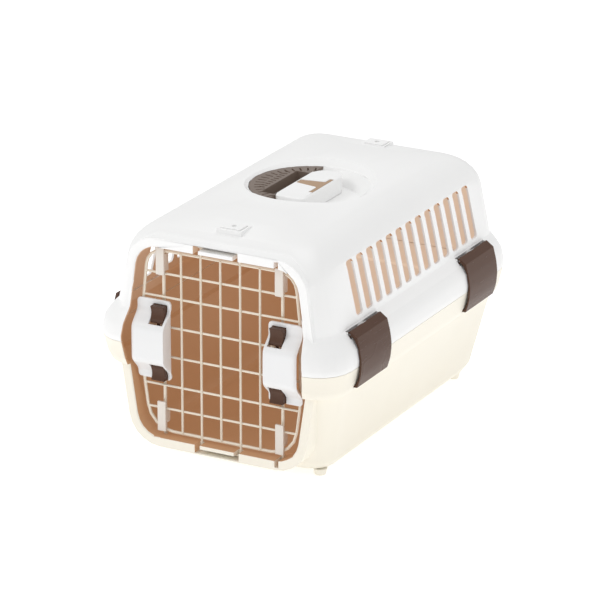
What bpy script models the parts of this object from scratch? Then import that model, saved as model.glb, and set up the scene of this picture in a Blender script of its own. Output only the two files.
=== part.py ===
"""Hard-shell pet transport carrier, as an assembly of separate pieces.

Units are metres. X runs across the carrier, the door faces -Y and +Z is up. The origin is on
the floor, under the middle of the body. The upper and lower shells meet at a seam inside a
belt that runs round the body. The wire door turns on the two locking rods of its left side.
Each of its four knobs draws a rod out of the door frame against a spring. Four side buckles
hang from pins on the belt's ledge and hook under the lower shell's edge.
"""
import math

import bmesh
import bpy
from mathutils import Matrix, Vector

for old in list(bpy.data.objects):
    bpy.data.objects.remove(old, do_unlink=True)

# ---------------------------------------------------------------- driving dimensions
BODY_HALF_W = 0.160      # belt's widest line, each side of the middle
BODY_HALF_L = 0.235      # the same, front and rear
BODY_H = 0.2866          # crown of the upper shell
SEAM_Z = 0.1415          # where the shells meet
WALL = 0.003             # shell thickness
GAP = 0.0003             # clearance that touching pieces keep

FOOT_H = 0.006           # feet below the lower shell's floor
BELT_DOWN = 0.0315       # the belt below the seam
BELT_UP = 0.041          # the belt above the seam
BELT_CORNER_R = 0.042    # plan corner radius of the belt
SHOULDER_R = 0.046       # round between side wall and top
SHOULDER_IN = 0.077      # belt's face to the shoulder's centre line
CROWN_R = 0.515          # the top's crown
WALL_LEAN = math.radians(13)
CROWN_TILT = math.radians(10)

OPEN_SIDE = 0.0460       # belt's face to the side of the doorway at the belt
OPEN_BULGE = 0.0034      # the doorway widens by this much inside the belt
OPEN_BOTTOM = 0.0265
OPEN_TOP = BODY_H - 0.0281
RIM_W = 0.0115           # width of the raised rim round the doorway
RIM_FRONT = -BODY_HALF_L + 0.0145
DOOR_Y = RIM_FRONT + 0.0123  # plane of the door's cross wires

SLOT_COUNT = 13          # vent slots in each side
SLOT_SPAN = 0.296        # first slot to last
SLOT_MIDDLE = 0.0115     # middle of the row, behind the body's middle
SLOT_W = 0.0156
SLOT_END_R = 0.0040

DISH_R = 0.081           # recess for the carrying grip
DISH_Y = 0.006           # its centre, behind the middle
DISH_DEPTH = 0.024
GRIP_LEFT, GRIP_RIGHT = -0.018, 0.021
ANCHOR_Y = BODY_HALF_L - 0.058       # strap anchors, from the middle

BUCKLE_L = 0.075
BUCKLE_Y = 0.1396        # middle of each buckle, in front of and behind the middle
PIN_R = 0.0015
BORE_R = 0.00155         # running fit on the pin

KNOB_TRAVEL = 0.0075

# ---------------------------------------------------------------- derived sizes
BELT_LOW = SEAM_Z - BELT_DOWN
BELT_TOP = SEAM_Z + BELT_UP
ARC_X = BODY_HALF_W - SHOULDER_IN    # shoulder arc's centre line
EDGE_X = ARC_X + SHOULDER_R * math.sin(CROWN_TILT)
EDGE_Z = BODY_H - CROWN_R * (1 - math.cos(math.asin(EDGE_X / CROWN_R)))
ARC_Z = EDGE_Z - SHOULDER_R * math.cos(CROWN_TILT)

OPEN_HALF = BODY_HALF_W - OPEN_SIDE
GRID_PITCH = OPEN_HALF * 0.2241      # between the door's upright wires
ROD_X = GRID_PITCH * 3.020           # the locking rods
DOOR_HALF = GRID_PITCH * 3.98        # the door frame's uprights
ROD_Y = DOOR_Y + 0.0043
HANDLE_IN, HANDLE_OUT = ROD_X - 0.0135, ROD_X + 0.0300

DISH_TOP = BODY_H - 0.002            # the recess's edge, just under the crown
INSERT_TOP = DISH_TOP - 0.006        # vent insert's face
INSERT_R = DISH_R - 0.009
INSERT_RIGHT = GRIP_LEFT - 0.0012
GRIP_FRONT = DISH_Y - INSERT_R + 0.016
GRIP_REAR = DISH_Y + INSERT_R - 0.018
WELL_X = (GRIP_LEFT - 0.0210, GRIP_RIGHT - 0.0080)
WELL_Y = (GRIP_FRONT + 0.0080, GRIP_REAR - 0.0140)
DISH_FLOOR = DISH_TOP - DISH_DEPTH
WELL_FLOOR = DISH_TOP - 0.044
TUB_WALL = 0.002                       # wall and floor of the finger well's tub


# ---------------------------------------------------------------- helpers
def material(name, colour, roughness, metallic=0.0):
    """A Principled material with one plain colour."""
    made = bpy.data.materials.new(name)
    made.use_nodes = True
    shader = made.node_tree.nodes["Principled BSDF"]
    shader.inputs["Base Color"].default_value = (*colour, 1.0)
    shader.inputs["Roughness"].default_value = roughness
    shader.inputs["Metallic"].default_value = metallic
    return made


def finish(name, bm, mat=None):
    """Turn a bmesh into a named object."""
    bmesh.ops.recalc_face_normals(bm, faces=bm.faces)
    mesh = bpy.data.meshes.new(name)
    bm.to_mesh(mesh)
    bm.free()
    made = bpy.data.objects.new(name, mesh)
    bpy.context.scene.collection.objects.link(made)
    if mat:
        mesh.materials.append(mat)
    return made


def ring(bm, points):
    return [bm.verts.new(point) for point in points]


def skin(bm, rings, closed=False):
    """Join rings of equal length into a tube, capped at both ends unless it is closed."""
    pairs = list(zip(rings, rings[1:]))
    if closed:
        pairs.append((rings[-1], rings[0]))
    for low, high in pairs:
        for i in range(len(low)):
            j = (i + 1) % len(low)
            bm.faces.new((low[i], low[j], high[j], high[i]))
    if not closed:
        bm.faces.new(rings[0][::-1])
        bm.faces.new(rings[-1])


def box(name, x, y, z, mat=None):
    """A block between three pairs of limits."""
    bm = bmesh.new()
    size = Vector((x[1] - x[0], y[1] - y[0], z[1] - z[0]))
    middle = Vector((x[1] + x[0], y[1] + y[0], z[1] + z[0])) / 2
    bmesh.ops.create_cube(bm, size=1.0, matrix=Matrix.Translation(middle) @ Matrix.Diagonal((*size, 1)))
    return finish(name, bm, mat)


def rod(name, start, end, r, mat=None, sides=16, r_end=None):
    """A cylinder or cone frustum between two points."""
    start, end = Vector(start), Vector(end)
    bm = bmesh.new()
    turn = (end - start).to_track_quat("Z", "Y").to_matrix().to_4x4()
    bmesh.ops.create_cone(
        bm, cap_ends=True, segments=sides, radius1=r, radius2=r if r_end is None else r_end,
        depth=(end - start).length, matrix=Matrix.Translation((start + end) / 2) @ turn)
    return finish(name, bm, mat)


def rounded(corners, steps=5):
    """Outline through (a, b, radius) corners, each corner an arc."""
    points = []
    count = len(corners)
    for i in range(count):
        here = Vector(corners[i][:2])
        to_last = (Vector(corners[i - 1][:2]) - here).normalized()
        to_next = (Vector(corners[(i + 1) % count][:2]) - here).normalized()
        r = corners[i][2]
        if r <= 0:
            points.append(here)
            continue
        half = to_last.angle(to_next) / 2
        centre = here + (to_last + to_next).normalized() * r / math.sin(half)
        first = here + to_last * r / math.tan(half) - centre
        last = here + to_next * r / math.tan(half) - centre
        sweep = first.angle_signed(last)
        for k in range(steps + 1):
            turned = first.copy()
            turned.rotate(Matrix.Rotation(-sweep * k / steps, 2))
            points.append(centre + turned)
    return points


def grown(corners, out):
    """The same convex outline, counter-clockwise, moved outwards; its radii grow with it."""
    lines = []
    count = len(corners)
    for i in range(count):
        a, b = Vector(corners[i][:2]), Vector(corners[(i + 1) % count][:2])
        along = (b - a).normalized()
        lines.append((a + Vector((along.y, -along.x)) * out, along))
    moved = []
    for i in range(count):
        (p, u), (q, v) = lines[i - 1], lines[i]
        t = (q - p).cross(v) / u.cross(v)
        spot = p + u * t
        moved.append((spot.x, spot.y, max(corners[i][2] + out, 0.001)))
    return moved


def prism(name, outline, low, high, axis="Y", mat=None):
    """An outline of (a, b) points pushed along one axis."""
    place = {
        "X": lambda p, t: (t, p[0], p[1]),
        "Y": lambda p, t: (p[0], t, p[1]),
        "Z": lambda p, t: (p[0], p[1], t),
    }[axis]
    bm = bmesh.new()
    skin(bm, [ring(bm, [place(p, t) for p in outline]) for t in (low, high)])
    return finish(name, bm, mat)


def wire(name, points, r, mat=None, closed=False, sides=6):
    """Round wire along a path that lies in an XZ plane."""
    bm = bmesh.new()
    rings = []
    count = len(points)
    for i, point in enumerate(points):
        here = Vector(point)
        before = Vector(points[i - 1]) if closed or i else here
        after = Vector(points[(i + 1) % count]) if closed or i + 1 < count else here
        arrive = (here - before).normalized() if before != here else (after - here).normalized()
        leave = (after - here).normalized() if after != here else arrive
        along = (arrive + leave).normalized()
        across = along.cross(Vector((0, 1, 0))).normalized()
        stretch = 1 / max(along.dot(leave), 0.5)
        spin = [2 * math.pi * (k + 0.5) / sides for k in range(sides)]
        rings.append(ring(bm, [
            here + across * (r * math.cos(a) * stretch) + Vector((0, 1, 0)) * (r * math.sin(a))
            for a in spin]))
    skin(bm, rings, closed)
    return finish(name, bm, mat)


def combine(base, other, how):
    """Apply an exact Boolean to base and remove the other shape."""
    step = base.modifiers.new("step", "BOOLEAN")
    step.operation = how
    step.solver = "EXACT"
    step.object = other
    seen = base.evaluated_get(bpy.context.evaluated_depsgraph_get())
    mesh = bpy.data.meshes.new_from_object(seen)
    base.modifiers.remove(step)
    base.data = mesh
    bpy.data.objects.remove(other, do_unlink=True)
    return base


def cut(base, *others):
    for other in others:
        combine(base, other, "DIFFERENCE")
    return base


def join(base, *others):
    for other in others:
        combine(base, other, "UNION")
    return base


def clean(made, angle=35):
    """Weld what the Booleans left nearly touching and shade the round faces smooth."""
    bm = bmesh.new()
    bm.from_mesh(made.data)
    bmesh.ops.remove_doubles(bm, verts=bm.verts, dist=0.00002)
    bmesh.ops.dissolve_degenerate(bm, dist=0.00001, edges=bm.edges)
    bm.to_mesh(made.data)
    bm.free()
    made.data.shade_smooth()
    made.data.set_sharp_from_angle(angle=math.radians(angle))
    return made


def set_origin(made, spot):
    """Put the object's origin on its joint's axis and leave the shape where it is."""
    made.data.transform(Matrix.Translation(-Vector(spot)))
    made.location = spot
    return made


# ---------------------------------------------------------------- materials
WHITE = material("shell_white", (0.90, 0.90, 0.885), 0.45)
CREAM = material("shell_cream", (0.87, 0.83, 0.73), 0.45)
BROWN = material("buckle_brown", (0.11, 0.065, 0.045), 0.4)
UMBER = material("insert_brown", (0.15, 0.115, 0.095), 0.5)
TAN = material("inlay_tan", (0.45, 0.30, 0.19), 0.5)
WIRE = material("wire_cream", (0.80, 0.74, 0.63), 0.35)
HANDLE = material("handle_white", (0.86, 0.86, 0.86), 0.4)
CLIP = material("clip_beige", (0.70, 0.64, 0.58), 0.4)
STEEL = material("steel", (0.55, 0.55, 0.56), 0.3, 1.0)


# ---------------------------------------------------------------- body shape
def section_levels(t):
    """Levels of the body, floor to top: (height, half width, front, rear), moved inwards by t."""
    arc_foot = ARC_Z + SHOULDER_R * math.sin(WALL_LEAN)
    arc_wall = ARC_X + SHOULDER_R * math.cos(WALL_LEAN)
    wall_in = BODY_HALF_W - arc_wall - (arc_foot - BELT_TOP) * math.tan(WALL_LEAN)
    insets = [                                   # (height, side, front, rear) from the belt's face
        (FOOT_H + t, 0.0500, 0.0560, 0.0450),
        (FOOT_H + 0.004 + t, 0.0410, 0.0470, 0.0360),
        (FOOT_H + 0.014 + t, 0.0345, 0.0400, 0.0295),
        (BELT_LOW + t, 0.0140, 0.0180, 0.0110),
        (BELT_LOW + 0.0015 + t, 0.0085, 0.0085, 0.0070),
        (BELT_LOW + 0.0100 + t, 0.0052, 0.0052, 0.0045),
        (SEAM_Z, 0.0007, 0.0007, 0.0007),
        (SEAM_Z + 0.0080, 0, 0, 0),
        (SEAM_Z + 0.0215 - t / 2, 0.0025, 0.0025, 0.0020),
        (SEAM_Z + 0.0305 - t, 0.0085, 0.0070, 0.0045),
        (SEAM_Z + 0.0365 - t, 0.0135, 0.0105, 0.0065),
        (BELT_TOP - t, wall_in, 0.0125, 0.0075),
    ]
    levels = [(z, BODY_HALF_W - w, BODY_HALF_L - f, BODY_HALF_L - r) for z, w, f, r in insets]
    front, rear = BODY_HALF_L - 0.0150 - arc_wall, BODY_HALF_L - 0.0095 - arc_wall
    for k in range(7):
        angle = WALL_LEAN + (math.pi / 2 - CROWN_TILT - WALL_LEAN) * k / 6
        w = ARC_X + t + (SHOULDER_R - t) * math.cos(angle)
        levels.append((ARC_Z + (SHOULDER_R - t) * math.sin(angle), w, w + front, w + rear))
    for share in (0.66, 0.33):
        x = EDGE_X * share
        drop = CROWN_R - math.sqrt(CROWN_R ** 2 - x ** 2)
        levels.append((BODY_H - t - drop, x + t, x + t + front, x + t + rear))
    return [(z, w - t, f - t, r - t) for z, w, f, r in levels]


def body_solid(name, t):
    """The body's solid, rounded rectangles stacked in height, moved inwards by t."""
    bm = bmesh.new()
    rings = []
    for z, w, front, rear in section_levels(t):
        r = max(BELT_CORNER_R - 0.35 * (BODY_HALF_W - w - t), 0.02) - t
        outline = rounded([(w, rear, r), (-w, rear, r), (-w, -front, r), (w, -front, r)])
        rings.append(ring(bm, [(p.x, p.y, z) for p in outline]))
    skin(bm, rings)
    return finish(name, bm)


ANCHOR_Z = EDGE_Z + 0.0042      # top of the strap anchors' plinths


def doorway_corners():
    """The doorway's outline with its bulge at the belt, counter-clockwise seen from the rear."""
    low, high = OPEN_HALF - 0.0130, OPEN_HALF - 0.0120
    wide = OPEN_HALF + OPEN_BULGE
    right = [
        (low, OPEN_BOTTOM, 0.030), (OPEN_HALF - 0.0005, BELT_LOW, 0), (wide - 0.002, SEAM_Z - 0.014, 0.012),
        (wide, SEAM_Z + 0.005, 0.03), (wide - 0.0018, SEAM_Z + 0.021, 0.012),
        (OPEN_HALF - 0.0010, SEAM_Z + 0.036, 0), (high, OPEN_TOP, 0.028)]
    return right + [(-x, z, r) for x, z, r in reversed(right)]


def body_shell():
    """Both shells in one piece, before they are parted at the seam."""
    shell = body_solid("body", 0)
    rim = grown(doorway_corners(), RIM_W)
    join(shell, prism("rim", rounded(rim), RIM_FRONT, RIM_FRONT + 0.050))
    for side in (-1, 1):
        y = side * ANCHOR_Y
        join(shell, box("plinth", (-0.016, 0.016), (y - 0.013, y + 0.013), (ANCHOR_Z - 0.0095, ANCHOR_Z)))
    cut(shell, body_solid("inside", WALL))
    cut(shell, prism("doorway", rounded(doorway_corners()), RIM_FRONT - 0.02, RIM_FRONT + 0.07))
    return shell


def cut_stop_notch(shell, edge, up):
    """A U-shaped notch in the rim where a loop of the door's wire rests on a pad."""
    x_in, x_out = GRID_PITCH - 0.0026, GRID_PITCH + 0.0026
    swing = 0.0012                                # room on the hinge side as the door turns
    deep = (RIM_FRONT - 0.005, DOOR_Y + 0.0008)
    far = edge + up * 0.0099
    legs = sorted((edge - up * 0.004, far))
    cut(shell, box("leg", (x_in - swing, x_out), deep, legs))
    cut(shell, box("leg", (-x_out - swing, -x_in), deep, legs))
    cut(shell, box("crossing", (-x_out - swing, x_out), deep, sorted((far - up * 0.0052, far))))


def cut_rod_seats(shell):
    """Sockets for the rods' tips: round on the hinge side, open to the front on the other."""
    for edge, up in ((OPEN_TOP, 1), (OPEN_BOTTOM, -1)):
        span = sorted((edge - up * 0.004, edge + up * 0.0080))
        cut(shell, rod("socket", (-ROD_X, ROD_Y, span[0]), (-ROD_X, ROD_Y, span[1]), 0.0025))
        cut(shell, box("seat", (ROD_X - 0.0026, ROD_X + 0.0026),
                       (RIM_FRONT - 0.005, ROD_Y + 0.0026), span))


def lower_shell(shell):
    """The tray: everything below the seam, with its four feet."""
    cut(shell, box("above", (-1, 1), (-1, 1), (SEAM_Z - GAP / 2, 1)))
    for side in (-1, 1):
        for end in (-1, 1):
            x, y = side * (BODY_HALF_W - 0.0515), end * (BODY_HALF_L - 0.0625)
            foot = rod("foot", (x, y, 0), (x, y, FOOT_H + 0.002), 0.0065, r_end=0.0085)
            join(shell, foot)
            groove_y = (end * BUCKLE_Y - BUCKLE_L / 2 - 0.0006, end * BUCKLE_Y + BUCKLE_L / 2 + 0.0006)
            cut(shell, box("catch", across(side, BODY_HALF_W - 0.0080, BODY_HALF_W), groove_y,
                           (CATCH_Z - 0.0028, CATCH_Z + 0.0022)))
    cut_stop_notch(shell, OPEN_BOTTOM, -1)
    shell.name = "lower_shell"
    shell.data.materials.clear()
    shell.data.materials.append(CREAM)
    return clean(shell)


def disc(r, right=None, steps=36):
    """Outline of a disc about the recess's centre, cut off by a straight side where x is right."""
    first = 0.0 if right is None else math.acos(right / r)
    count = steps if right is None else steps // 2 + 1
    sweep = 2 * math.pi * (steps - 1) / steps if right is None else 2 * (math.pi - first)
    angles = [first + sweep * k / (count - 1) for k in range(count)]
    return [(r * math.cos(a), DISH_Y + r * math.sin(a)) for a in angles]


def turned(name, low, high, r_low, r_high):
    """Cone frustum about the recess's axis."""
    return rod(name, (0, DISH_Y, low), (0, DISH_Y, high), r_low, sides=40, r_end=r_high)


def upper_shell(shell):
    """The roof: everything above the seam, with vent slots, grip recess and hinge lugs."""
    cut(shell, box("below", (-1, 1), (-1, 1), (-1, SEAM_Z + GAP / 2)))
    slot_low, slot_high = BELT_TOP + 0.0060, BODY_H - 0.0352
    for i in range(SLOT_COUNT):
        y = SLOT_MIDDLE - SLOT_SPAN / 2 + SLOT_SPAN * i / (SLOT_COUNT - 1)
        low, high = y - SLOT_W / 2, y + SLOT_W / 2
        outline = rounded([(high, slot_low, SLOT_END_R), (high, slot_high, SLOT_END_R),
                           (low, slot_high, SLOT_END_R), (low, slot_low, SLOT_END_R)], steps=3)
        cut(shell, prism("slot", outline, -BODY_HALF_W, BODY_HALF_W, "X"))
    ledge_low = INSERT_TOP - 0.0068
    ledge = prism("ledge", disc(DISH_R + 0.002), ledge_low, BODY_H, "Z")
    join(shell, combine(ledge, body_solid("limit", 0.001), "INTERSECT"))
    join(shell, turned("tub", DISH_FLOOR - WALL, ledge_low + 0.001, INSERT_R - 0.010, INSERT_R + 0.004))
    cut(shell, turned("recess", INSERT_TOP - 0.0002, DISH_TOP + 0.002, INSERT_R + 0.0015, DISH_R + 0.0025))
    bowl = turned("bowl", DISH_FLOOR, INSERT_TOP + 0.001, INSERT_R - 0.013, INSERT_R)
    cut(bowl, box("side", (-1, INSERT_RIGHT + GAP), (-1, 1), (0, 1)))
    cut(shell, bowl)
    cut(shell, prism("seat", disc(INSERT_R + GAP, INSERT_RIGHT + GAP), INSERT_TOP - 0.0038, BODY_H, "Z"))
    cut(shell, prism("vent", disc(INSERT_R - 0.005, INSERT_RIGHT + GAP), DISH_FLOOR - 0.02, BODY_H, "Z"))
    cut(shell, box("well", (INSERT_RIGHT - 0.01, WELL_X[1] + TUB_WALL + GAP),
                   (WELL_Y[0] - TUB_WALL - GAP, WELL_Y[1] + TUB_WALL + GAP),
                   (DISH_FLOOR - 0.02, DISH_FLOOR + 0.002)))
    for side in (-1, 1):
        y = side * ANCHOR_Y
        cut(shell, box("pocket", (-0.0128, 0.0128), (y - 0.0098, y + 0.0098),
                       (ANCHOR_Z - 0.0027, ANCHOR_Z + 0.01)))
        for end in (-1, 1):
            add_hinge_seat(shell, side, end * BUCKLE_Y)
    cut_stop_notch(shell, OPEN_TOP, 1)
    shell.name = "upper_shell"
    shell.data.materials.clear()
    shell.data.materials.append(WHITE)
    return clean(shell)


# ---------------------------------------------------------------- side buckles
HINGE_X = BODY_HALF_W - 0.0126
HINGE_Z = BELT_TOP - 0.0043
KNUCKLE_R = 0.0033
LUG_HALF = 0.0060
CATCH_Z = SEAM_Z - 0.0235        # groove in the lower belt that the buckle's lip snaps into


def across(side, x0, x1):
    """X limits measured outwards on one side."""
    return sorted((side * x0, side * x1))


def add_hinge_seat(shell, side, y):
    """A hollow for the buckle's knuckles, backed by a rib, with a bored lug in its middle."""
    half = BUCKLE_L / 2 + 0.0006
    wall = HINGE_X - 0.0125
    join(shell, box("rib", across(side, wall, HINGE_X - 0.0008), (y - half - 0.002, y + half + 0.002),
                    (HINGE_Z - 0.0075, HINGE_Z + 0.0030)))
    axis = [(side * HINGE_X, y + k * half, HINGE_Z) for k in (-1, 1)]
    cut(shell, rod("hollow", axis[0], axis[1], KNUCKLE_R + 0.0022, sides=20))
    middle = [(side * HINGE_X, y + k * LUG_HALF, HINGE_Z) for k in (-1, 1)]
    join(shell, rod("lug", middle[0], middle[1], KNUCKLE_R - 0.0002, sides=20))
    join(shell, box("web", across(side, HINGE_X - 0.0070, HINGE_X - 0.0012),
                    (y - LUG_HALF, y + LUG_HALF), (HINGE_Z - 0.0058, HINGE_Z - 0.0002)))
    cut(shell, rod("bore", axis[0], axis[1], BORE_R, sides=20))


def buckle_profile():
    """C-shaped section: chamfer from the knuckle, bowed face over the belt, lip at its foot."""
    low = CATCH_Z - 0.0022
    outer = [
        (HINGE_X - 0.0012, HINGE_Z + KNUCKLE_R - 0.0009, 0), (HINGE_X + 0.0006, HINGE_Z + 0.0045, 0.001),
        (BODY_HALF_W - 0.0026, BELT_TOP - 0.0065, 0.0008), (BODY_HALF_W + 0.0012, SEAM_Z + 0.0200, 0.05),
        (BODY_HALF_W + 0.0035, SEAM_Z + 0.0045, 0.05), (BODY_HALF_W + 0.0020, SEAM_Z - 0.0120, 0.05),
        (BODY_HALF_W - 0.0022, low, 0.001),
    ]
    inner = [
        (BODY_HALF_W - 0.0075, low, 0), (BODY_HALF_W - 0.0075, CATCH_Z + 0.0010, 0),
        (BODY_HALF_W - 0.0042, CATCH_Z + 0.0016, 0), (BODY_HALF_W + 0.0001, SEAM_Z - 0.0120, 0),
        (BODY_HALF_W + 0.0008, SEAM_Z + 0.0080, 0), (BODY_HALF_W - 0.0014, SEAM_Z + 0.0225, 0),
        (BODY_HALF_W - 0.0062, SEAM_Z + 0.0315, 0), (HINGE_X + 0.0012, HINGE_Z + 0.0005, 0),
    ]
    return rounded([(x, z, r) for x, z, r in outer + inner][::-1], steps=3)


def side_buckle(name, side, end):
    """One clip-shut buckle, with knuckles for the hinge pin at its top; the left is the right mirrored."""
    y = end * BUCKLE_Y
    low, high = y - BUCKLE_L / 2, y + BUCKLE_L / 2
    made = prism(name, buckle_profile(), low, high, mat=BROWN)
    join(made, rod("knuckle", (HINGE_X, low, HINGE_Z), (HINGE_X, high, HINGE_Z), KNUCKLE_R, sides=20))
    notch = (y - LUG_HALF - 0.0005, y + LUG_HALF + 0.0005)
    cut(made, rod("relief", (HINGE_X, notch[0], HINGE_Z), (HINGE_X, notch[1], HINGE_Z),
                  KNUCKLE_R + 0.0003, sides=20))
    cut(made, box("tip", (HINGE_X - 0.006, HINGE_X + 0.0009), notch, (HINGE_Z + 0.0002, HINGE_Z + 0.008)))
    cut(made, rod("bore", (HINGE_X, low - 0.01, HINGE_Z), (HINGE_X, high + 0.01, HINGE_Z),
                  BORE_R, sides=20))
    if side < 0:
        made.data.transform(Matrix.Scale(-1, 4, (1, 0, 0)))
        made.data.flip_normals()
    clean(made)
    return set_origin(made, (side * HINGE_X, y, HINGE_Z))


def hinge_pin(name, side, end):
    x, y = side * HINGE_X, end * BUCKLE_Y
    reach = BUCKLE_L / 2 - 0.001
    return clean(rod(name, (x, y - reach, HINGE_Z), (x, y + reach, HINGE_Z), PIN_R, STEEL, sides=20))


# ---------------------------------------------------------------- carrying grip
GRIP_TOP = DISH_TOP - 0.0035
POCKET_DEPTH = 0.0018                  # of the inlay's pocket in the bar


def carry_grip():
    """The bar across the recess: top plate, right flank and two end walls."""
    foot = DISH_FLOOR + GAP
    outline = rounded([
        (GRIP_RIGHT, GRIP_FRONT, 0.006), (GRIP_RIGHT, GRIP_REAR, 0.018),
        (GRIP_LEFT, GRIP_REAR, 0.018), (GRIP_LEFT, GRIP_FRONT, 0.006)])
    made = prism("carry_grip", outline, foot, GRIP_TOP, "Z", WHITE)
    cut(made, box("hollow", (GRIP_LEFT - 0.01, GRIP_RIGHT - 0.0035),
                  (GRIP_FRONT + 0.0060, GRIP_REAR - 0.0120), (foot - 0.01, GRIP_TOP - 0.0045)))
    cut(made, prism("pocket", inlay_outline(0), GRIP_TOP - POCKET_DEPTH, GRIP_TOP + 0.01, "Z"))
    return clean(made)


def inlay_outline(t):
    """T shape: a slot along the bar with a stem to its open side, moved inwards by t."""
    x0, x1 = GRIP_RIGHT - 0.0080 + t, GRIP_RIGHT - 0.0025 - t
    low, high = -0.0230 + t, 0.0310 - t
    stem_low, stem_high = 0.0020 + t, 0.0140 - t
    left = GRIP_LEFT + 0.0012 + t
    return rounded([
        (x1, low, 0.001), (x1, high, 0.001), (x0, high, 0.001), (x0, stem_high + 0.005, 0.002),
        (left, stem_high, 0.001), (left, stem_low, 0.001), (x0, stem_low - 0.005, 0.002), (x0, low, 0.001)],
        steps=2)


def grip_inlay():
    low, high = GRIP_TOP - POCKET_DEPTH + GAP, GRIP_TOP - 0.0006
    return clean(prism("grip_inlay", inlay_outline(GAP), low, high, "Z", TAN))


def vent_insert():
    """Half-disc vent plate beside the bar, with the finger well hanging under it."""
    base = INSERT_TOP - 0.0035
    made = prism("vent_insert", disc(INSERT_R, INSERT_RIGHT), base, INSERT_TOP, "Z", UMBER)
    join(made, box("tub", (WELL_X[0] - TUB_WALL, WELL_X[1] + TUB_WALL),
                   (WELL_Y[0] - TUB_WALL, WELL_Y[1] + TUB_WALL), (WELL_FLOOR - TUB_WALL, base + 0.001)))
    cut(made, box("under_bar", (INSERT_RIGHT, 0.03), (-0.06, 0.07), (DISH_FLOOR - GAP, 1)))
    cut(made, box("well", WELL_X, WELL_Y, (WELL_FLOOR, BODY_H)))
    for k in range(17):
        angle = math.radians(112 + 136 * k / 16)
        along = Vector((math.cos(angle), math.sin(angle)))
        aside = Vector((-along.y, along.x)) * 0.0010
        near, far = INSERT_R - 0.0175, INSERT_R - 0.0065
        ends = ((near, -1), (far, -1), (far, 1), (near, 1))
        outline = [along * r + aside * s + Vector((0, DISH_Y)) for r, s in ends]
        cut(made, prism("radial", outline, base - 0.01, BODY_H, "Z"))
    for k in range(10):
        y = DISH_Y - 0.0315 + 0.007 * k
        cut(made, box("vent", (WELL_X[0] - 0.0115, WELL_X[0] - 0.0045), (y - 0.0012, y + 0.0012),
                      (base - 0.01, BODY_H)))
    return clean(made)


def strap_anchor(name, side):
    """Small tab with an eye for the shoulder strap's stud."""
    y = side * ANCHOR_Y
    outline = rounded([(0.0125, y - 0.0095, 0.002), (0.0125, y + 0.0095, 0.002),
                       (-0.0125, y + 0.0095, 0.002), (-0.0125, y - 0.0095, 0.002)], steps=3)
    made = prism(name, outline, ANCHOR_Z - 0.0027 + GAP, ANCHOR_Z + 0.0014, "Z", WHITE)
    cut(made, rod("eye", (0, y, BODY_H - 0.01), (0, y, BODY_H + 0.01), 0.0031))
    return clean(made)


# ---------------------------------------------------------------- door
UPRIGHT_R = 0.0014
FRAME_R = 0.0019
UPRIGHT_Y = DOOR_Y - 0.0016
FRAME_LOW = OPEN_BOTTOM + 0.0052
FRAME_HIGH = OPEN_TOP - 0.0068


FRAME_CORNER = {-1: 0.034, 1: 0.022}           # of the door frame, lower and upper
FRAME_END = {-1: DOOR_HALF - 0.0082, 1: DOOR_HALF - 0.0062}     # its half width there
FRAME_BEND = {-1: FRAME_LOW + 0.060, 1: FRAME_HIGH - 0.060}     # where its sides turn upright
CLIP_HALF_W, GUIDE_HALF_W = 0.0053, 0.0042


def corner_rise(reach, up):
    """How far the frame has curved away from its straight line at this distance from the middle."""
    r = FRAME_CORNER[up]
    level = FRAME_LOW if up < 0 else FRAME_HIGH
    lean = math.atan((DOOR_HALF - FRAME_END[up]) / abs(FRAME_BEND[up] - level))
    into = max(reach - (FRAME_END[up] - r * math.tan(math.pi / 4 - lean / 2)), 0.0)
    return r - math.sqrt(r * r - into * into)


def frame_reach(z):
    """Half width of the door frame at this height."""
    up = -1 if z < SEAM_Z else 1
    level = FRAME_LOW if up < 0 else FRAME_HIGH
    share = min(abs(z - level) / abs(FRAME_BEND[up] - level), 1.0)
    return FRAME_END[up] + (DOOR_HALF - FRAME_END[up]) * share


def cross_heights():
    """Heights of the cross wires: close at the ends, wider in the middle."""
    span = FRAME_HIGH - FRAME_LOW
    steps = (0.125, 0.130, 0.163, 0.164, 0.163, 0.130)
    heights, z = [], FRAME_LOW
    for step in steps:
        z += step * span
        heights.append(z)
    return heights


def door_grid():
    """Outer frame, cross wires, uprights and the two stop loops, welded into one piece."""
    right = [(FRAME_END[-1], FRAME_LOW, FRAME_CORNER[-1]), (DOOR_HALF, FRAME_BEND[-1], 0.060),
             (DOOR_HALF, FRAME_BEND[1], 0.060), (FRAME_END[1], FRAME_HIGH, FRAME_CORNER[1])]
    corners = right + [(-x, z, r) for x, z, r in reversed(right)]
    frame = [(p.x, DOOR_Y, p.y) for p in rounded(corners, steps=4)]
    made = wire("door_grid", frame, FRAME_R, WIRE, closed=True)
    for z in cross_heights():
        half = frame_reach(z)
        join(made, wire("cross", [(-half, DOOR_Y, z), (half, DOOR_Y, z)], UPRIGHT_R))
    for k in (-2, 0, 2):
        x = k * GRID_PITCH
        join(made, wire("upright", [(x, UPRIGHT_Y, FRAME_LOW), (x, UPRIGHT_Y, FRAME_HIGH)], UPRIGHT_R))
    low, high = OPEN_BOTTOM - 0.0072, OPEN_TOP + 0.0072
    loop = [(GRID_PITCH, low, 0.005), (GRID_PITCH, high, 0.005),
            (-GRID_PITCH, high, 0.005), (-GRID_PITCH, low, 0.005)]
    path = [(p.x, UPRIGHT_Y, p.y) for p in rounded(loop, steps=3)]
    join(made, wire("loop", path, UPRIGHT_R, closed=True))
    clean(made, angle=70)
    return set_origin(made, (-ROD_X, ROD_Y, SEAM_Z))


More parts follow.
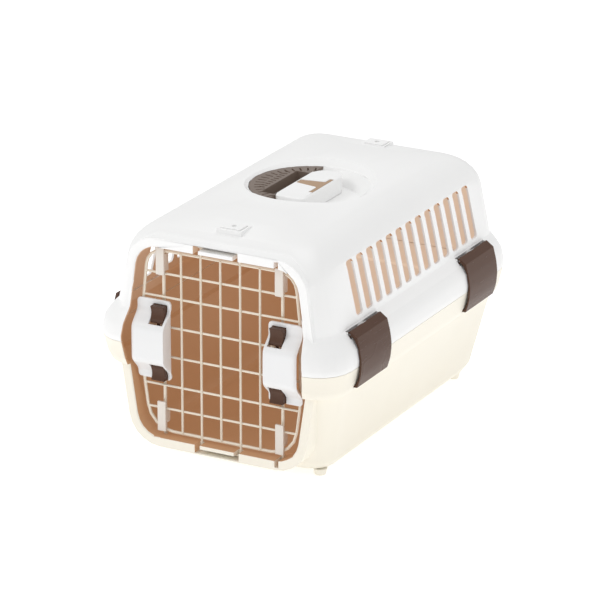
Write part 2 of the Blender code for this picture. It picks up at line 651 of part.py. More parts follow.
PLATE_BACK = DOOR_Y - FRAME_R - GAP
PLATE_FRONT = PLATE_BACK - 0.003
GRIP_OUT = PLATE_FRONT - 0.0165
KNOB_HALF_W, KNOB_HALF_H = 0.0086, 0.0102
ROUND_KNOB = 0.0005                             # room between a knob and its window
KNOB_FRONT = PLATE_FRONT - 0.0078
HEIGHTS = cross_heights()
CENTRE_Z = (HEIGHTS[2] + HEIGHTS[3]) / 2       # between the two cross wires behind the handle
KNOB_OFF = 0.0335                               # knob's middle above and below it
SPRING_Y = PLATE_FRONT - 0.0040
SPRING_FOOT = 0.0088


def knob_middle(up):
    return CENTRE_Z + up * (KNOB_OFF + 0.0016)


def door_handle(name, side):
    """Side plate of the door with a domed finger grip between its two knobs."""
    low, high = CENTRE_Z - 0.0458, CENTRE_Z + 0.0507
    corners = [(HANDLE_OUT, low, 0.005), (HANDLE_OUT, high, 0.004), (HANDLE_IN, high, 0.004),
               (HANDLE_IN, low, 0.005)]
    made = prism(name, [(side * p.x, p.y) for p in rounded(corners, steps=3)],
                 PLATE_FRONT, PLATE_BACK, mat=HANDLE)
    grip = [(PLATE_FRONT + 0.001, CENTRE_Z - 0.0265, 0), (PLATE_FRONT + 0.001, CENTRE_Z + 0.0265, 0),
            (GRIP_OUT, CENTRE_Z + 0.0225, 0.006), (GRIP_OUT, CENTRE_Z - 0.0225, 0.006)]
    span = sorted((side * (HANDLE_IN + 0.001), side * (HANDLE_OUT - 0.0070)))
    join(made, prism("grip", rounded(grip, steps=3), span[0], span[1], "X"))
    for up in (-1, 1):
        middle = knob_middle(up)
        reach = KNOB_HALF_H + ROUND_KNOB
        ends = sorted((middle + up * reach, middle - up * (reach + KNOB_TRAVEL)))
        half = KNOB_HALF_W + ROUND_KNOB
        sides = sorted((side * (ROD_X - half), side * (ROD_X + half)))
        cut(made, box("window", sides, (KNOB_FRONT - 0.0006, 0), ends))
        cut(made, box("chamber", sorted((side * (ROD_X - 0.0045), side * (ROD_X + 0.0045))),
                      (SPRING_Y - 0.0045, SPRING_Y + 0.0045),
                      sorted((CENTRE_Z + up * SPRING_FOOT, middle))))
    return clean(made)


def knob(name, side, up):
    """Knob that a finger draws towards the grip, with a tail behind the door's wires."""
    middle = knob_middle(up)
    x = side * ROD_X
    made = box(name, (x - KNOB_HALF_W, x + KNOB_HALF_W), (KNOB_FRONT, PLATE_BACK - GAP),
               (middle - KNOB_HALF_H, middle + KNOB_HALF_H), BROWN)
    cut(made, rod("scoop", (x - 0.02, KNOB_FRONT - 0.011, middle + up * 0.002),
                  (x + 0.02, KNOB_FRONT - 0.011, middle + up * 0.002), 0.013, sides=24))
    tail = sorted((middle - up * 0.0035, middle + up * 0.0105))
    join(made, box("tail", (x - 0.0035, x + 0.0035), (PLATE_BACK - 0.002, ROD_Y + 0.0025), tail))
    return clean(made)


def lock_rod(name, side, up):
    """Rod from the knob's tail into the rim, with a domed tip."""
    start = knob_middle(up) + up * (0.0105 + GAP)
    edge = OPEN_TOP if up > 0 else OPEN_BOTTOM
    tip = edge + up * 0.0060
    x = side * ROD_X
    bm = bmesh.new()
    rings = []
    for z, r in ((start, 0.0020), (tip - up * 0.0012, 0.0020), (tip, 0.0012)):
        rings.append(ring(bm, [(x + r * math.cos(a), ROD_Y + r * math.sin(a), z)
                               for a in (2 * math.pi * k / 16 for k in range(16))]))
    skin(bm, rings)
    return clean(finish(name, bm, STEEL))


def return_spring(name, side, up):
    """Coil that pushes the knob away from the grip."""
    foot = CENTRE_Z + up * (SPRING_FOOT + GAP)
    head = knob_middle(up) - up * (KNOB_HALF_H + GAP)
    turns, steps, sides = 4, 10, 5
    coil_r, wire_r = 0.0030, 0.0005
    bm = bmesh.new()
    rings = []
    first, last = foot + up * wire_r, head - up * wire_r
    for k in range(turns * steps + 1):
        angle = 2 * math.pi * k / steps
        out = Vector((math.cos(angle), math.sin(angle), 0))
        middle = Vector((side * ROD_X, SPRING_Y, first + (last - first) * k / (turns * steps)))
        rings.append(ring(bm, [
            middle + out * (coil_r + wire_r * math.cos(a)) + Vector((0, 0, wire_r * 0.96 * math.sin(a)))
            for a in (2 * math.pi * s / sides for s in range(sides))]))
    skin(bm, rings)
    return clean(finish(name, bm, STEEL))


def guide_clip(name, side, up):
    """Clip over the door frame that guides a locking rod."""
    edge = OPEN_TOP if up > 0 else OPEN_BOTTOM
    frame_z = FRAME_HIGH if up > 0 else FRAME_LOW
    next_z = HEIGHTS[-1] if up > 0 else HEIGHTS[0]
    x = side * ROD_X
    inner = next_z - 0.001 if up > 0 else next_z + 0.009
    start = edge - up * (0.0010 + corner_rise(ROD_X + CLIP_HALF_W, up) * 0.8)
    plate = sorted((start, inner))
    made = box(name, (x - CLIP_HALF_W, x + CLIP_HALF_W), (PLATE_FRONT, PLATE_BACK), plate, CLIP)
    rise = corner_rise(ROD_X + GUIDE_HALF_W + FRAME_R, up)
    held = sorted((frame_z - up * (FRAME_R + 0.0012 + rise), next_z + up * (UPRIGHT_R + 0.0008)))
    join(made, box("guide", (x - GUIDE_HALF_W, x + GUIDE_HALF_W), (PLATE_BACK - 0.001, ROD_Y + 0.0038), held))
    cut(made, rod("bore", (x, ROD_Y, held[0] - 0.01), (x, ROD_Y, held[1] + 0.01), 0.00206))
    return clean(made)


# ---------------------------------------------------------------- build
whole = body_shell()
cut_rod_seats(whole)
copy = bpy.data.objects.new("roof", whole.data.copy())
bpy.context.scene.collection.objects.link(copy)
lower_shell(whole)
upper_shell(copy)

SIDES = (("left", -1), ("right", 1))
ENDS = (("front", -1), ("rear", 1))
LEVELS = (("lower", -1), ("upper", 1))

for side_name, side in SIDES:
    for end_name, end in ENDS:
        side_buckle(f"buckle_{end_name}_{side_name}", side, end)
        hinge_pin(f"buckle_pin_{end_name}_{side_name}", side, end)

carry_grip()
grip_inlay()
vent_insert()
for end_name, end in ENDS:
    strap_anchor(f"strap_anchor_{end_name}", end)

door_grid()
for side_name, side in SIDES:
    door_handle(f"door_handle_{side_name}", side)
    for level_name, up in LEVELS:
        place = f"{level_name}_{side_name}"
        knob(f"knob_{place}", side, up)
        lock_rod(f"lock_rod_{place}", side, up)
        return_spring(f"spring_{place}", side, up)
        guide_clip(f"guide_clip_{place}", side, up)
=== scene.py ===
# %% [markdown]
# # A pet transport carrier
# This lesson dresses a carrier for a cat or a small dog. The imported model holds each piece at
# its true size and place. Here every piece gets the rounded edges, the small details and the
# finish that a moulded or welded piece has, and rides on the body that carries it.
# %% Load the model
import math

import bmesh
import bpy
from mathutils import Matrix, Vector
from mathutils.bvhtree import BVHTree


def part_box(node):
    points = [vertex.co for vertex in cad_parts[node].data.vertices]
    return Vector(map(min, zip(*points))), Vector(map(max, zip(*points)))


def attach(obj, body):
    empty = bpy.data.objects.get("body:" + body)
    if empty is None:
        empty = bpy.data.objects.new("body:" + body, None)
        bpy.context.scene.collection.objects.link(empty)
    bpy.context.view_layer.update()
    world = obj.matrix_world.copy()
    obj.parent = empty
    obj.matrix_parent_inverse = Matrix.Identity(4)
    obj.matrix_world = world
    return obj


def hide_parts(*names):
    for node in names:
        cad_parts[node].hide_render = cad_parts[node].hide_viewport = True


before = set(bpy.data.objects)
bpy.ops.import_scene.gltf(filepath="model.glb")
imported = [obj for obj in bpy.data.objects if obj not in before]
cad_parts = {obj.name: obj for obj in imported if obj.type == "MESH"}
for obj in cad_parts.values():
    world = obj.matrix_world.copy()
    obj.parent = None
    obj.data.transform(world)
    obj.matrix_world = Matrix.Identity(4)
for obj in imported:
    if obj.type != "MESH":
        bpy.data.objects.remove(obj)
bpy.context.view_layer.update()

SIDES = (("left", -1), ("right", 1))
ENDS = ("front", "rear")
LEVELS = (("lower", -1), ("upper", 1))

# %% [markdown]
# ## Shader maths as plain expressions
# A finish is easier to read as arithmetic than as a web of nodes. The class `Field` wraps a
# socket whose number changes over the surface, and its operators add Math nodes. The class
# `Finish` owns one material, and its method `add` makes every other kind of node.


# %% Wrap a socket
class Field:
    """A number that varies over a surface; arithmetic on it adds Math nodes."""

    def __init__(self, finish, socket):
        self.finish, self.socket = finish, socket

    def math_node(self, operation, first, second):
        return self.finish.add("Math", {"operation": operation}, {0: first, 1: second})

    def __add__(self, other):
        return self.math_node("ADD", self, other)

    def __radd__(self, other):
        return self.math_node("ADD", other, self)

    def __sub__(self, other):
        return self.math_node("SUBTRACT", self, other)

    def __rsub__(self, other):
        return self.math_node("SUBTRACT", other, self)

    def __mul__(self, other):
        return self.math_node("MULTIPLY", self, other)

    def __rmul__(self, other):
        return self.math_node("MULTIPLY", other, self)

# %% Build a material
class Finish:
    """One Principled material and the nodes that feed it."""

    def __init__(self, name, roughness, **constants):
        self.material = bpy.data.materials.new(name)
        self.material.use_nodes = True
        self.tree = self.material.node_tree
        self.shader = self.tree.nodes["Principled BSDF"]
        self.shader.inputs["Roughness"].default_value = roughness
        for socket, value in constants.items():
            self.shader.inputs[socket.replace("_", " ")].default_value = value

    def plug(self, socket, value):
        """Link a field or a node's socket, or set a constant."""
        if isinstance(value, Field):
            value = value.socket
        if isinstance(value, bpy.types.NodeSocket):
            self.tree.links.new(value, socket)
        else:
            socket.default_value = value

    def add(self, kind, settings=None, sockets=None, output=0):
        """Make a node: first its settings, then its sockets; returns one output as a field."""
        node = self.tree.nodes.new("ShaderNode" + kind)
        for name, value in (settings or {}).items():
            setattr(node, name, value)
        for name, value in (sockets or {}).items():
            self.plug(node.inputs[name], value)
        return Field(self, node.outputs[output])

    def place(self, stretch=(1, 1, 1)):
        """Object coordinates, stretched along the axes."""
        spot = self.add("TexCoord", output="Object")
        return self.add("Mapping", {"vector_type": "POINT"}, {"Vector": spot, "Scale": stretch})

    def noise(self, scale, detail=2.0, rough=0.5, stretch=(1, 1, 1)):
        return self.add("TexNoise", None, {
            "Vector": self.place(stretch), "Scale": scale, "Detail": detail, "Roughness": rough})

    def between(self, field, low, high, to_low=0.0, to_high=1.0):
        """Spread the range low..high of a field over to_low..to_high, and clip the rest."""
        return self.add("MapRange", {"clamp": True}, {
            "Value": field, "From Min": low, "From Max": high, "To Min": to_low, "To Max": to_high})

    def mix(self, field, first, second):
        """Blend two colours by a field."""
        return self.add("Mix", {"data_type": "RGBA"}, {"Factor": field, 6: first, 7: second}, output=2)

    def mark(self, name):
        """A number that the mesh carries in an attribute."""
        return self.add("Attribute", {"attribute_name": name}, output="Fac")

    def feed(self, **values):
        for socket, value in values.items():
            self.plug(self.shader.inputs[socket.replace("_", " ")], value)

    def relief(self, height, depth):
        """Bump from a height field, depth metres from 0 to 1."""
        self.feed(Normal=self.add("Bump", None, {"Height": height, "Distance": depth, "Strength": 1.0}))


def shade(*numbers):
    return (*numbers, 1.0)

# %% [markdown]
# ## Camera, light and floor
# The carrier is looked at from its front right, a little from above, through a long lens from
# well back, so that its upright edges stay parallel. Large soft lamps and a pale floor keep the
# white shell bright, and leave just enough shadow to read its curves.
# %% Set the camera
AZIMUTH, ELEVATION = math.radians(28.2), math.radians(20.1)
AIM = Vector((0.0095, -0.0370, 0.1510))
DISTANCE = 4.70
back = Vector((math.sin(AZIMUTH) * math.cos(ELEVATION), -math.cos(AZIMUTH) * math.cos(ELEVATION),
               math.sin(ELEVATION)))
lens = bpy.data.cameras.new("camera")
lens.lens, lens.sensor_width, lens.clip_end = 240.8, 36.0, 50.0
camera = bpy.data.objects.new("camera", lens)
bpy.context.scene.collection.objects.link(camera)
camera.location = AIM + back * DISTANCE
camera.rotation_euler = back.to_track_quat("Z", "Y").to_euler()
bpy.context.scene.camera = camera


# %% Hang the lamps
def soft_lamp(name, spot, target, size, watts, colour=(1, 1, 1)):
    lamp = bpy.data.lights.new(name, "AREA")
    lamp.shape, lamp.size, lamp.energy, lamp.color = "DISK", size, watts, colour
    made = bpy.data.objects.new(name, lamp)
    bpy.context.scene.collection.objects.link(made)
    made.location = spot
    made.rotation_euler = (Vector(spot) - Vector(target)).to_track_quat("Z", "Y").to_euler()


MIDDLE = (0.0, 0.0, 0.14)
soft_lamp("key", (-1.6, -1.7, 2.3), MIDDLE, 1.6, 19)
soft_lamp("roof", (0.1, 0.5, 2.6), MIDDLE, 1.8, 12)
soft_lamp("side", (2.4, 0.2, 0.9), MIDDLE, 1.4, 3)
world = bpy.data.worlds.new("studio")
world.use_nodes = True
world.node_tree.nodes["Background"].inputs["Color"].default_value = shade(1.0, 1.0, 1.0)
world.node_tree.nodes["Background"].inputs["Strength"].default_value = 0.67
bpy.context.scene.world = world
bpy.context.scene.view_settings.view_transform = "Standard"

# %% Lay the floor
floor_mesh = bmesh.new()
bmesh.ops.create_grid(floor_mesh, x_segments=1, y_segments=1, size=6.0)
floor_data = bpy.data.meshes.new("floor")
floor_mesh.to_mesh(floor_data)
floor_mesh.free()
floor = bpy.data.objects.new("floor", floor_data)
bpy.context.scene.collection.objects.link(floor)
paper = Finish("paper", 0.9, Emission_Color=shade(1.0, 1.0, 1.0), Emission_Strength=0.40)
paper.feed(Base_Color=paper.mix(paper.noise(3.0), shade(0.93, 0.93, 0.93), shade(0.95, 0.95, 0.95)))
floor_data.materials.append(paper.material)
print("lamps and floor ready")

# %% [markdown]
# ## Finishes
# Moulded polypropylene is never one flat colour. It has a satin skin with a fine orange-peel
# relief, a slight drift in tone, and faint scuffs where it is handled. Each finish below is a
# base tone with those three things in its own measure. An attribute on the mesh, `keen`, marks
# rounded edges, which polish up lighter than the faces between them.


# %% Moulded plastic
def moulded(name, tone, darker, roughness, peel=0.00005, peel_scale=900.0, scuff=0.35):
    """Satin plastic: tone drift, orange peel, long faint scuffs and polished edges."""
    made = Finish(name, roughness, IOR=1.48)
    drift = made.between(made.noise(9.0, 3.0), 0.35, 0.65)
    scratch = made.between(made.noise(60.0, 4.0, 0.6, stretch=(1.0, 1.0, 9.0)), 0.62, 0.72)
    edge = made.mark("keen")
    colour = made.mix(drift, shade(*tone), shade(*darker))
    lighter = [min(1.0, c * 1.06 + 0.01) for c in tone]
    made.feed(
        Base_Color=made.mix(edge * 0.5, colour, shade(*lighter)),
        Roughness=roughness + (drift - 0.5) * 0.08 + scratch * (0.12 * scuff) - edge * 0.06)
    made.relief(made.noise(peel_scale, 3.0) * 0.8 + scratch * (0.3 * scuff), peel)
    return made


WHITE = (0.90, 0.90, 0.895)
CREAM = (0.875, 0.835, 0.735)
PAINTED_SHADE = (0.41, 0.235, 0.135)          # painted shade: the inside wall, a warm tan where it lies in shade
PAINTED_SLOT_LIGHT = (0.72, 0.65, 0.57)          # painted light: the same wall, paler where daylight from the slots falls on it
PAINTED_GLOW = (0.165, 0.090, 0.044)       # painted glow: emission on the inside wall, standing in for daylight through the thin wall
# painted glow, stronger where the painted slot light falls
PAINTED_SLOT_GLOW = (0.36, 0.30, 0.24)


def shell_plastic(name, tone, darker, roughness):
    """The shells: outside as moulded, inside a painted warm shade, painted slot light and a painted glow.
    """
    made = moulded(name, tone, darker, roughness)
    outside = made.shader.inputs["Base Color"].links[0].from_socket
    # Painted shade: inside faces get a warm tan with a random drift, standing in for the shade in the
    # cabin.
    warm = made.between(made.noise(5.0, 2.0), 0.3, 0.7)
    x, y, z = (made.add("SeparateXYZ", None, {0: made.place()}, output=k) for k in range(3))
    # Painted light: paler patches on the inside wall where daylight from the slots falls, at the left rear
    # and near the front.
    rear = made.between(y, 0.190, 0.205) * made.between(x, -0.125, -0.090)
    corner = made.between(y, -0.06, -0.16) * made.between(z, 0.12, 0.20)
    lit = rear + corner * 0.25
    shaded = made.mix(warm, shade(*PAINTED_SHADE), shade(PAINTED_SHADE[0] * 0.9, PAINTED_SHADE[1] * 0.9, PAINTED_SHADE[2] * 0.9))
    within = made.mark("inside")
    # Painted glow: the inside faces emit a warm light, though they are no lamp.
    glow = made.mix(lit, shade(*PAINTED_GLOW), shade(*PAINTED_SLOT_GLOW))
    made.feed(Base_Color=made.mix(within, outside, made.mix(lit, shaded, shade(*PAINTED_SLOT_LIGHT))),
              Emission_Color=made.mix(within, shade(0, 0, 0), glow))
    made.shader.inputs["Emission Strength"].default_value = 1.0
    return made


white_shell = shell_plastic("white_shell", WHITE, (0.885, 0.885, 0.88), 0.42)
cream_shell = shell_plastic("cream_shell", CREAM, (0.86, 0.815, 0.71), 0.42)
white_part = moulded("white_part", WHITE, (0.885, 0.885, 0.88), 0.40)
pale_part = moulded("pale_part", (0.84, 0.845, 0.85), (0.82, 0.825, 0.83), 0.38)
brown_part = moulded("brown_part", (0.088, 0.043, 0.027), (0.076, 0.037, 0.023), 0.32, scuff=0.8)
brown_part.shader.inputs["Specular IOR Level"].default_value = 0.15
umber_painted_glow = moulded("umber_painted_glow", (0.135, 0.100, 0.080), (0.12, 0.09, 0.072), 0.5)
# Painted glow: a faint brown emission keeps the insert's shaded recess from going black.
umber_painted_glow.feed(Emission_Color=shade(0.055, 0.040, 0.031), Emission_Strength=0.6)
tan_part = moulded("tan_part", (0.42, 0.27, 0.16), (0.39, 0.25, 0.15), 0.5)
clip_part = moulded("clip_part", (0.74, 0.69, 0.63), (0.70, 0.65, 0.585), 0.3)


# %% Coated wire and plated steel
def coated_wire(name):
    """Powder coat over steel wire: thick, slightly dimpled, glossy on its rounds."""
    made = Finish(name, 0.32, Coat_Roughness=0.2)
    dimple = made.noise(700.0, 3.0)
    drift = made.between(made.noise(30.0, 2.0), 0.35, 0.65)
    made.feed(Base_Color=made.mix(drift, shade(0.86, 0.79, 0.67), shade(0.83, 0.755, 0.63)),
              Roughness=0.28 + dimple * 0.15)
    made.relief(dimple, 0.00006)
    return made


def plated_steel(name):
    """Zinc plate with fine lengthwise drawing lines."""
    made = Finish(name, 0.3, Metallic=1.0)
    lines = made.noise(1500.0, 2.0, stretch=(1.0, 1.0, 0.05))
    cloud = made.between(made.noise(120.0, 3.0), 0.3, 0.7)
    made.feed(Base_Color=made.mix(cloud, shade(0.62, 0.62, 0.62), shade(0.52, 0.52, 0.50)),
              Roughness=0.22 + lines * 0.2)
    made.relief(lines, 0.00003)
    return made


cream_wire = coated_wire("cream_wire")
zinc = plated_steel("zinc")
print("finishes:", len(bpy.data.materials))

# %% [markdown]
# ## From CAD solid to moulded piece
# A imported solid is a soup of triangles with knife-sharp edges. A real moulding has a small
# radius on every edge, because the tool was cut with one, and that radius is what catches the
# light. So each piece starts as a merged copy of its solid, its flats are joined into whole
# faces, and the edges that turn sharply are bevelled.


# %% Merge a solid
def merged(*nodes, join_flats=True):
    """One bmesh of the named CAD nodes, its triangles welded and its flats joined."""
    bm = bmesh.new()
    for node in nodes:
        bm.from_mesh(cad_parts[node].data)
    bmesh.ops.remove_doubles(bm, verts=bm.verts, dist=0.00002)
    if join_flats:
        bmesh.ops.dissolve_limit(bm, angle_limit=math.radians(0.6), verts=bm.verts, edges=bm.edges,
                                 use_dissolve_boundaries=False, delimit=set())
    bm.normal_update()
    return bm


def pass_on_inside(bm, new_faces):
    """A bevel's faces are inside where all the older faces round them are."""
    layer = bm.faces.layers.float.get("inside")
    waiting = set(new_faces) if layer else set()
    while waiting:
        settled = {}
        for face in waiting:
            older = {other for edge in face.edges for other in edge.link_faces} - waiting
            if older:
                settled[face] = min(other[layer] for other in older)
        for face, value in settled.items():
            face[layer] = value
        waiting = waiting - set(settled) if settled else set()


def soften(bm, edges, width, segments=3, keen=0.5):
    """Bevel the given edges and mark the new faces' points."""
    result = bmesh.ops.bevel(
        bm, geom=edges, offset=width, offset_type="OFFSET", segments=segments, profile=0.5,
        affect="EDGES", material=-1, clamp_overlap=False)
    mark = bm.verts.layers.float.get("keen") or bm.verts.layers.float.new("keen")
    for vert in {v for face in result["faces"] for v in face.verts}:
        vert[mark] = keen
    pass_on_inside(bm, result["faces"])
    return bm


def keen_edges(bm, angle):
    """The edges at which the surface turns by more than this many degrees."""
    turn = math.radians(angle)
    return [edge for edge in bm.edges if edge.is_manifold and edge.calc_face_angle(0) > turn]


def round_edges(bm, width, angle=32):
    """A narrow bevel on every keen edge."""
    return soften(bm, keen_edges(bm, angle), width, segments=2, keen=1.0)


# %% Turn a mesh into a piece
def piece(name, bm, finish, body, slot, *replaced, smooth=40):
    """A finished object that rides on a body and stands for CAD nodes."""
    mesh = bpy.data.meshes.new(name)
    bm.to_mesh(mesh)
    bm.free()
    mesh.shade_smooth()
    mesh.set_sharp_from_angle(angle=math.radians(smooth))
    mesh.materials.append(finish.material)
    made = bpy.data.objects.new(name, mesh)
    bpy.context.scene.collection.objects.link(made)
    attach(made, body)
    if replaced:
        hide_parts(*replaced)
    return made


def weigh_normals(made):
    """Let large faces set the shading of the small ones at their edges."""
    step = made.modifiers.new("flats", "WEIGHTED_NORMAL")
    step.keep_sharp, step.weight = True, 60

# %% [markdown]
# ## The two shells
# The white roof and the cream tray are thin mouldings. Their inside faces get a painted warm shade,
# painted light where daylight from the slots falls, and a painted glow. A solid doesn't say which of its
# faces are inside, so this is measured: a face is inside if it turns towards the cabin's middle line and
# a straight ray from it reaches that line. The roof's small flats stay apart, because its outline round the
# recess has a hole in it.
# %% Mark the faces that look into the cabin
LINE_END = 0.17          # the cabin's middle line runs this far each way
LINE_HEIGHTS = (0.09, 0.14, 0.19)      # a face must see it at two of these
LEAST_TURN = 0.12        # cosine that a face must turn towards it
EYE_OFF = 0.0015         # a ray starts this far off its face


def mark_inside(bm, tree):
    """Give each face that sees the cabin's middle line the value 1 in the layer `inside`."""
    layer = bm.faces.layers.float.new("inside")
    for face in bm.faces:
        centre = face.calc_center_median()
        eye = centre + face.normal * EYE_OFF
        seen = 0
        for height in LINE_HEIGHTS:
            way = Vector((0, max(-LINE_END, min(LINE_END, centre.y)), height)) - eye
            turned = face.normal.dot(way.normalized()) > LEAST_TURN
            if turned and tree.ray_cast(eye, way.normalized(), way.length)[3] is None:
                seen += 1
        if seen >= 2:
            face[layer] = 1.0


RIM_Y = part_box("door_handle_left")[1].y - 0.0101      # plane of the rim's front
LOOP_NOTCH = 0.040       # the notches lie this close to the middle
SEAT = (0.068, 0.086)    # the open rod seats lie between these, below and above
SEAT_LOW, SEAT_HIGH = 0.05, 0.23
CABIN_MIDDLE = Vector((0, 0, 0.14))
RIM_ROUND = 0.0024


def rim_edges(bm):
    """The rim's edges towards the doorway, except near the loops' notches and the rods' seats."""
    chosen = []
    for edge in keen_edges(bm, 50):
        spots = [vert.co for vert in edge.verts]
        on_rim = all(abs(co.y - RIM_Y) < 0.0002 and abs(co.x) > LOOP_NOTCH for co in spots)
        by_seat = any(SEAT[0] < co.x < SEAT[1] and not SEAT_LOW < co.z < SEAT_HIGH for co in spots)
        to_middle = CABIN_MIDDLE - (spots[0] + spots[1]) / 2
        to_middle.y = 0
        inner = any(abs(face.normal.y) < 0.5 and face.normal.dot(to_middle) > 0 for face in edge.link_faces)
        if on_rim and inner and not by_seat:
            chosen.append(edge)
    return chosen


both = merged("upper_shell", "lower_shell")
sight = BVHTree.FromBMesh(both)
both.free()
for name, finish, slot in (("upper_shell", white_shell, "shell_white"),
                           ("lower_shell", cream_shell, "shell_cream")):
    bm = merged(name, join_flats=name != "upper_shell")
    mark_inside(bm, sight)
    soften(bm, rim_edges(bm), RIM_ROUND)
    round_edges(bm, 0.0005)
    weigh_normals(piece(name + "_skin", bm, finish, "body", slot, name))

# %% [markdown]
# ## Door handles
# Each handle is a moulded sheet about 3 mm thick: a flat plate with a window for each knob, and
# between them a bridge that swells forward for the fingers. A solid block would hide the hollow
# that the knobs slide into, so the handle is made as a grid that is pushed forward in a smooth
# wave, has its windows cut out, and is then given its thickness.


# %% Shape a sheet on a grid
def sheet_grid(columns, rows, place):
    """A grid whose lines stand at the given columns and rows; place(a, b) gives each point."""
    bm = bmesh.new()
    across, along = len(columns) - 1, len(rows) - 1
    bmesh.ops.create_grid(bm, x_segments=across, y_segments=along, size=0.5)
    for vert in bm.verts:
        i, j = round((vert.co.x + 0.5) * across), round((vert.co.y + 0.5) * along)
        vert.co = place(columns[i], rows[j])
    return bm


def ease(t):
    """0 to 1 with level ends."""
    t = min(max(t, 0.0), 1.0)
    return t * t * (3 - 2 * t)


def spread(start, end, steps):
    return [start + (end - start) * k / steps for k in range(steps + 1)]


# %% Make the handles
SHEET = 0.0026            # wall of the handle
WINDOW_IN = 0.0246        # the knobs' windows start this far from the handle's middle
WINDOW_OUT = 0.0460       # and end here, where the upper one is closed by a strip
RAMP_OUT, RAMP_IN = 0.0400, 0.0180     # the bridge rises between these distances


def door_handle(side_name, side):
    node = f"door_handle_{side_name}"
    low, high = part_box(node)
    knob_low, knob_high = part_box(f"knob_upper_{side_name}")
    inner, outer = sorted((abs(low.x), abs(high.x)))
    rod_x = (abs(knob_low.x) + abs(knob_high.x)) / 2
    half = (knob_high.x - knob_low.x) / 2 + 0.0006
    middle = (knob_low.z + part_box(f"knob_lower_{side_name}")[1].z) / 2
    plate = high.y - SHEET
    lift = plate - low.y - 0.0004
    corner = 0.0045
    columns = [inner, inner + 0.0012, inner + 0.0024, rod_x - half] + spread(
        rod_x - half + 0.0035, rod_x + half, 4) + spread(rod_x + half + 0.0015, outer - 0.0030, 5) + [
        outer - 0.0018, outer - 0.0008, outer]
    upper = [middle + WINDOW_OUT, high.z - 0.0032, high.z - 0.0012, high.z]
    rows = [low.z, low.z + 0.0012, low.z + 0.0032] + spread(low.z + 0.0055, middle - WINDOW_IN, 8) + spread(
        middle - WINDOW_IN + 0.0022, middle + WINDOW_IN - 0.0022, 14) + spread(
        middle + WINDOW_IN, middle + WINDOW_OUT - 0.0022, 8) + upper

    def place(x, z):
        rise = ease((RAMP_OUT - abs(z - middle)) / (RAMP_OUT - RAMP_IN))
        flank = min(max((x - inner - 0.0002) / 0.0010, 0.0), 1.0)
        lip = 1 - 0.10 * ease(1 - (outer - x) / 0.0030)
        bow = 0.90 + 0.10 * math.cos((z - middle) / RAMP_OUT * math.pi / 2)
        x_centre = min(max(x, inner + corner), outer - corner)
        z_centre = min(max(z, low.z + corner), high.z - corner)
        away = Vector((x - x_centre, z - z_centre))
        if away.length > 0 and away.x and away.y:
            away *= max(abs(away.x), abs(away.y)) / away.length
        y = plate - lift * rise * flank * lip * bow
        return Vector((side * (x_centre + away.x), y, z_centre + away.y))

    bm = sheet_grid(columns, rows, place)
    window = []
    for face in bm.faces:
        spot = face.calc_center_median()
        level = spot.z - middle
        if abs(abs(spot.x) - rod_x) < half and abs(level) > WINDOW_IN and level < WINDOW_OUT:
            window.append(face)
    bmesh.ops.delete(bm, geom=window, context="FACES")
    bmesh.ops.recalc_face_normals(bm, faces=bm.faces)
    if sum(face.normal.y for face in bm.faces) > 0:
        bmesh.ops.reverse_faces(bm, faces=bm.faces)
    made = piece(f"handle_{side_name}", bm, pale_part, "door", "handle_white", node, smooth=60)
    wall = made.modifiers.new("wall", "SOLIDIFY")
    wall.thickness, wall.offset, wall.use_even_offset = SHEET, -1.0, True
    soft = made.modifiers.new("soft", "BEVEL")
    soft.width, soft.segments, soft.limit_method, soft.angle_limit = 0.0007, 2, "ANGLE", math.radians(50)


# %% [markdown]
# ## Carrying bar
# The bar is gripped hard, so its upper edges are generously round, and its flank runs softly
# down into the recess.


# %% Soften the bar
def soft_top(bm, width, least_height=0.005):
    """Round the outline of the top face, and leave shallow pockets in it alone."""
    top = max(vert.co.z for vert in bm.verts)
    chosen = []
    for edge in keen_edges(bm, 60):
        flat = all(vert.co.z > top - 0.0002 for vert in edge.verts)
        heights = [[vert.co.z for vert in face.verts] for face in edge.link_faces]
        deep = max(max(face) - min(face) for face in heights)
        if flat and deep > least_height:
            chosen.append(edge)
    return soften(bm, chosen, width, 4)


bm = merged("carry_grip")
soft_top(bm, 0.0022)
round_edges(bm, 0.0004, 50)
weigh_normals(piece("carry_grip_skin", bm, white_part, "body", "shell_white", "carry_grip"))

# %% [markdown]
# ## Recess, strap tabs and door wires
# The grille in the recess, the T-shaped inlay and the strap tabs are small mouldings with crisp
# edges, so their radii are small too. The door is welded from straight wire under a thick coat,
# and keeps the solid's shape.
# %% Make the small pieces
SMALL = (
    ("grip_inlay", tan_part, "body", "inlay_tan", 0.0001),
    ("vent_insert", umber_painted_glow, "body", "insert_brown", 0.0003),
    ("strap_anchor_front", white_part, "body", "shell_white", 0.0004),
    ("strap_anchor_rear", white_part, "body", "shell_white", 0.0004),
    ("door_grid", cream_wire, "door", "wire_cream", 0.0),
)
for name, finish, body, slot, width in SMALL:
    bm = merged(name, join_flats=name != "vent_insert")
    if width:
        round_edges(bm, width)
    weigh_normals(piece(name + "_skin", bm, finish, body, slot, name))
print("small pieces:", len(SMALL))

# %% [markdown]
# ## Side buckles
# Four bowed clips hold the shells together. Each hangs from a plated pin on the belt's ledge and
# snaps over the tray's edge. It is stiff, dark and handled often, so its edges are rounder.
# %% Make the buckles and their pins
for end_name in ENDS:
    for side_name, _ in SIDES:
        name = f"buckle_{end_name}_{side_name}"
        weigh_normals(piece(name + "_skin", round_edges(merged(name), 0.0004), brown_part,
                            f"clip_{end_name}_{side_name}", "buckle_brown", name))
        pin = f"buckle_pin_{end_name}_{side_name}"
        piece(pin + "_skin", merged(pin), zinc, "body", "steel", pin)
print("buckles:", len(ENDS) * len(SIDES))

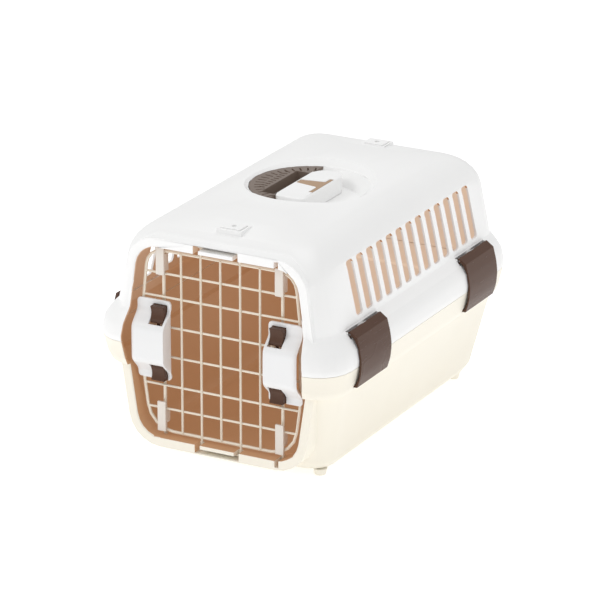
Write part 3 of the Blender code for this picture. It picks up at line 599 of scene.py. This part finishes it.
# %% [markdown]
# ## Latches
# A finger and thumb draw the two knobs of a handle together, against a coil spring behind the
# bridge, and the rods leave the rim. Each knob carries a stem inside its spring. The coils are
# made at the length they have when the knob is drawn, so that no turn meets it on the way, and
# a rib inside the bridge holds the springs' feet.


# %% Make the latches
STEM_R = 0.0018
STEM_ROOT = 0.0012        # length of stem sunk in the knob
DRAW = 0.0077             # a knob's travel, and a little more
RIB_HALF = 0.0043


def block(low, high):
    bm = bmesh.new()
    size = Vector(high) - Vector(low)
    bmesh.ops.create_cube(bm, size=1.0)
    bmesh.ops.scale(bm, vec=size, verts=bm.verts)
    bmesh.ops.translate(bm, vec=Vector(low) + size / 2, verts=bm.verts)
    return bm


def post(x, y, low, high, r):
    bm = bmesh.new()
    bmesh.ops.create_cone(bm, cap_ends=True, segments=24, radius1=r, radius2=r, depth=high - low)
    bmesh.ops.translate(bm, vec=(x, y, (low + high) / 2), verts=bm.verts)
    return bm


for side_name, side in SIDES:
    door_handle(side_name, side)
    feet = []
    for level_name, up in LEVELS:
        tail = f"{level_name}_{side_name}"
        body = f"latch_{tail}"
        knob, rod, clip = f"knob_{tail}", f"lock_rod_{tail}", f"guide_clip_{tail}"
        weigh_normals(piece(knob + "_skin", round_edges(merged(knob), 0.0006), brown_part, body,
                            "buckle_brown", knob))
        piece(rod + "_skin", merged(rod), cream_wire, body, "steel", rod)
        weigh_normals(piece(clip + "_skin", round_edges(merged(clip), 0.0004), clip_part, "door",
                            "clip_beige", clip))
        low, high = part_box(f"spring_{tail}")
        foot, head = (low.z, high.z) if up > 0 else (high.z, low.z)
        feet.append(foot)
        middle = (low + high) / 2
        coil = merged(f"spring_{tail}", join_flats=False)
        drawn = 1 - DRAW / (high.z - low.z)
        at_foot = Matrix.Translation((0, 0, -foot))
        bmesh.ops.scale(coil, vec=(1, 1, drawn), verts=coil.verts, space=at_foot)
        piece(f"spring_{tail}_skin", coil, zinc, "door", "steel", f"spring_{tail}")
        reach = sorted((head - up * DRAW, head + up * STEM_ROOT))
        stem = round_edges(post(middle.x, middle.y, *reach, STEM_R), 0.0004, 60)
        piece(f"stem_{tail}", stem, brown_part, body, "buckle_brown")
    low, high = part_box(f"door_handle_{side_name}")
    rib = block((middle.x - RIB_HALF, low.y + 0.0030, min(feet) + 0.0002),
                (middle.x + RIB_HALF, high.y, max(feet) - 0.0002))
    piece(f"spring_rib_{side_name}", round_edges(rib, 0.0004), pale_part, "door", "handle_white")
print("latches:", len(LEVELS) * len(SIDES))
